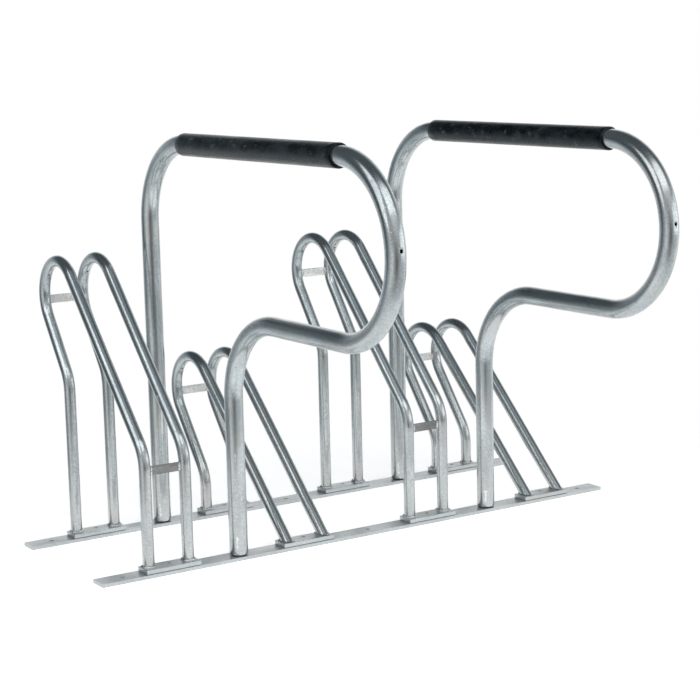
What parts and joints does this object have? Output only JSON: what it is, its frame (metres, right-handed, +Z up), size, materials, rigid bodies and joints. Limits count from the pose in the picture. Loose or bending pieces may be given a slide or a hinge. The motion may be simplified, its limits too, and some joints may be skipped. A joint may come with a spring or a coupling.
{
  "type": "bicycle rack",
  "caption": "Galvanized floor rack that holds cycles by the front wheel in high and low hoops, with sleeved lean-on loops that steady the frames.",
  "frame": {"origin": "centre of the bounding box on the floor, under the rack", "axes": "+X along the ground rails, +Y from the lean-on noses towards the backs of the wheel hoops, +Z up"},
  "size_m": [1.4, 1.199, 0.951],
  "materials": {
    "tube": "hot-dip galvanized, mottled grey, satin",
    "flat_bar": "hot-dip galvanized, matt grey",
    "screw": "zinc plated",
    "plug": "dark steel insert",
    "sleeve": "smooth black"
  },
  "bodies": {
    "root": {"cross_bar_1_lower": "flat_bar", "cross_bar_1_upper": "flat_bar", "cross_bar_2_upper": "flat_bar", "cross_bar_3_lower": "flat_bar", "cross_bar_3_upper": "flat_bar", "cross_bar_4_upper": "flat_bar", "foot_plate_1_front": "flat_bar", "foot_plate_1_rear": "flat_bar", "foot_plate_2_front": "flat_bar", "foot_plate_2_rear": "flat_bar", "foot_plate_3_front": "flat_bar", "foot_plate_3_rear": "flat_bar", "foot_plate_4_front": "flat_bar", "foot_plate_4_rear": "flat_bar", "hoop_1_left": "tube", "hoop_1_right": "tube", "hoop_2_left": "tube", "hoop_2_right": "tube", "hoop_3_left": "tube", "hoop_3_right": "tube", "hoop_4_left": "tube", "hoop_4_right": "tube", "lean_loop_1": "tube", "lean_loop_2": "tube", "lean_plug_1_front": "plug", "lean_plug_1_rear": "plug", "lean_plug_2_front": "plug", "lean_plug_2_rear": "plug", "lean_screw_1_front": "screw", "lean_screw_1_rear": "screw", "lean_screw_2_front": "screw", "lean_screw_2_rear": "screw", "lean_sleeve_1": "sleeve", "lean_sleeve_2": "sleeve", "plate_screw_1_front": "screw", "plate_screw_1_rear": "screw", "plate_screw_2_front": "screw", "plate_screw_2_rear": "screw", "plate_screw_3_front": "screw", "plate_screw_3_rear": "screw", "plate_screw_4_front": "screw", "plate_screw_4_rear": "screw", "rail_front": "flat_bar", "rail_rear": "flat_bar"}
  },
  "joints": []
}
